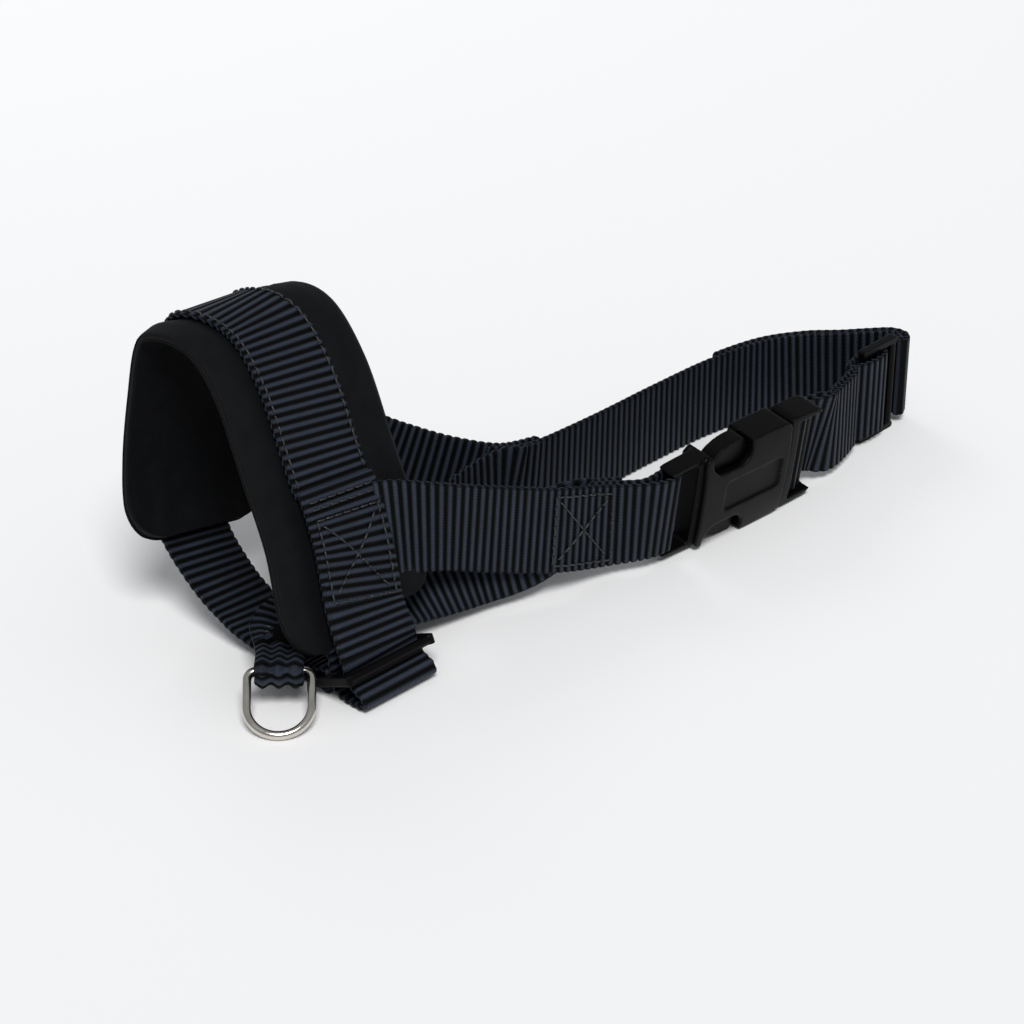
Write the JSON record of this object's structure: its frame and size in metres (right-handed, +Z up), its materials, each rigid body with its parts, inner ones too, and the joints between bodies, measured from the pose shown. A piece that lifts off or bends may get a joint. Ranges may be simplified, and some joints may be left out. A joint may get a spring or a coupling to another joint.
{
  "type": "head halter",
  "caption": "Padded nose loop of ribbed webbing with cheek, under-jaw and neck straps, two sliders, a side-release buckle and a lead ring, laid on a table",
  "frame": {"origin": "middle of the halter's bounding box, on the table it lies on", "axes": "+X from the nose loop towards the neck strap's turned end, +Y from the near side to the far side, +Z up"},
  "size_m": [0.2457, 0.1016, 0.0844],
  "materials": {
    "webbing": "ribbed black nylon webbing, matt with a faint sheen",
    "pad_jersey": "black nylon jersey bonded to foam",
    "pad_foam": "black closed-cell foam at the cut edge",
    "buckle_plastic": "moulded black acetal with a fine satin texture",
    "slider_plastic": "moulded black acetal, smooth",
    "nickel_ring": "bright nickel plate on steel wire",
    "thread": "black bonded polyester thread"
  },
  "bodies": {
    "root": {"pad_outer_face": "pad_jersey", "pad_foam": "pad_foam", "pad_lining": "pad_jersey", "nose_web": "webbing", "adjuster_tab": "webbing", "near_cheek_strap": "webbing", "far_cheek_strap": "webbing", "control_strap": "webbing", "neck_far_strap": "webbing", "neck_tail": "webbing", "buckle_socket": "buckle_plastic", "pad_front_stitch": "thread", "pad_rear_stitch": "thread", "seam_stitch": "thread", "tab_box_stitch": "thread", "near_junction_stitch": "thread", "far_junction_stitch": "thread", "far_tongue_stitch": "thread", "ring_tack": "thread"},
    "lead_ring": {"lead_ring": "nickel_ring"},
    "nose_slider": {"nose_slider": "slider_plastic"},
    "buckle_plug": {"buckle_plug": "buckle_plastic", "neck_near_strand": "webbing", "neck_turn": "webbing"},
    "neck_slider": {"neck_slider": "slider_plastic"},
    "prong_upper": {"prong_upper": "buckle_plastic"},
    "prong_lower": {"prong_lower": "buckle_plastic"}
  },
  "joints": [
    {"name": "ring_swing", "type": "hinge", "parent": "root", "child": "lead_ring", "pos_m": [-0.10805, -0.0209, 0.00972], "axis": [0.7314, -0.682, 0], "range_deg": [-90, 0]},
    {"name": "nose_slider_rock", "type": "hinge", "parent": "root", "child": "nose_slider", "pos_m": [-0.08455, -0.02968, 0.00629], "axis": [1, 0, 0], "range_deg": [-4, 4], "deforming": ["adjuster_tab", "nose_web"]},
    {"name": "buckle_release", "type": "slide", "parent": "root", "child": "buckle_plug", "axis": [0.9994, -0.0349, 0], "range_m": [0, 0.03], "deforming": ["neck_far_strap", "neck_tail", "neck_turn", "prong_upper", "prong_lower"]},
    {"name": "prong_upper_flex", "type": "hinge", "parent": "buckle_plug", "child": "prong_upper", "pos_m": [0.05337, -0.04453, 0.0263], "axis": [-0.0346, -0.9897, -0.1392], "range_deg": [0, 6], "stiffness_Nm_per_rad": 0.3},
    {"name": "prong_lower_flex", "type": "hinge", "parent": "buckle_plug", "child": "prong_lower", "pos_m": [0.05347, -0.04158, 0.00531], "axis": [0.0346, 0.9897, 0.1392], "range_deg": [0, 6], "stiffness_Nm_per_rad": 0.3},
    {"name": "neck_slider_slide", "type": "slide", "parent": "buckle_plug", "child": "neck_slider", "axis": [0.9994, 0.0349, 0], "range_m": [-0.012, 0.003], "deforming": ["neck_near_strand", "neck_tail", "neck_turn"]}
  ]
}
